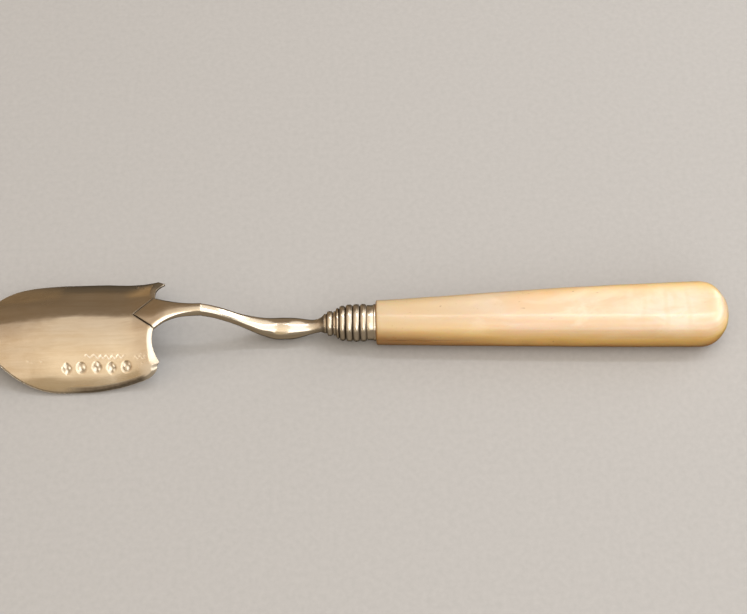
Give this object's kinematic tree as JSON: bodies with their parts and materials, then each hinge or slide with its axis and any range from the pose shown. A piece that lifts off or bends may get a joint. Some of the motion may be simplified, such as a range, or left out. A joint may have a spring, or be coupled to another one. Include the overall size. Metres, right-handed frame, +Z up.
{
  "type": "serving spoon",
  "caption": "Small shovel-bowled silver serving spoon with a pointed-tongue heel, arched stem, ring-turned ferrule and tapering mother-of-pearl handle, lying face down.",
  "frame": {"origin": "middle of the footprint, on the surface that the spoon lies on, face down", "axes": "+X along the spoon from the bowl to the butt of the handle, +Y across it, +Z up from the surface"},
  "size_m": [0.1452, 0.0256, 0.0109],
  "materials": {
    "silver": "polished silver, softened by fine scratches",
    "mother_of_pearl": "polished mother-of-pearl",
    "cement": "matt shellac cement",
    "tang_metal": "plain drawn rod"
  },
  "bodies": {
    "root": {"bowl": "silver", "stem": "silver", "collar": "silver", "ferrule": "silver", "ferrule_filling": "cement", "tang": "tang_metal", "handle_cement": "cement", "handle": "mother_of_pearl"}
  },
  "joints": []
}
